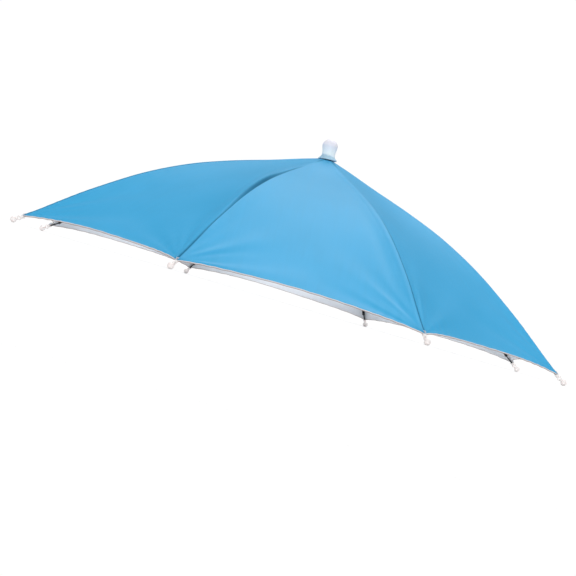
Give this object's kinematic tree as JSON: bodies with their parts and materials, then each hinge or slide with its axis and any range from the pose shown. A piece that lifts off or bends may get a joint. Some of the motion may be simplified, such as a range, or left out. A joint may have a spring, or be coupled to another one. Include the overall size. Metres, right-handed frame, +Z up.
{
  "type": "umbrella hat",
  "caption": "Wearable sun and rain shade: a stretched scalloped octagonal cloth canopy on thin channel ribs with ball tips, a domed top cap and an oval elastic headband beneath.",
  "frame": {"origin": "on the canopy's axis, at the height of the surface that the eight rib tips stand on", "axes": "+Z up along the canopy's axis, -Y towards the front of the hat, the way the wearer faces; +X towards the wearer's left"},
  "size_m": [0.812, 0.812, 0.2569],
  "materials": {
    "canopy_cloth": "satin woven polyester, sky blue outside, silver white coating inside",
    "frame_steel": "dark plated steel, semi-gloss",
    "white_plastic": "translucent white moulded plastic, soft gloss",
    "headband_elastic": "ribbed woven elastic, matt"
  },
  "bodies": {
    "root": {"gore_1": "canopy_cloth", "rib_1": "frame_steel", "rib_tip_1": "white_plastic", "stretcher_1": "frame_steel", "gore_2": "canopy_cloth", "rib_2": "frame_steel", "rib_tip_2": "white_plastic", "stretcher_2": "frame_steel", "gore_3": "canopy_cloth", "rib_3": "frame_steel", "rib_tip_3": "white_plastic", "stretcher_3": "frame_steel", "gore_4": "canopy_cloth", "rib_4": "frame_steel", "rib_tip_4": "white_plastic", "stretcher_4": "frame_steel", "gore_5": "canopy_cloth", "rib_5": "frame_steel", "rib_tip_5": "white_plastic", "stretcher_5": "frame_steel", "gore_6": "canopy_cloth", "rib_6": "frame_steel", "rib_tip_6": "white_plastic", "stretcher_6": "frame_steel", "gore_7": "canopy_cloth", "rib_7": "frame_steel", "rib_tip_7": "white_plastic", "stretcher_7": "frame_steel", "gore_8": "canopy_cloth", "rib_8": "frame_steel", "rib_tip_8": "white_plastic", "stretcher_8": "frame_steel", "hub": "white_plastic", "headband": "headband_elastic", "cap": "white_plastic"}
  },
  "joints": []
}
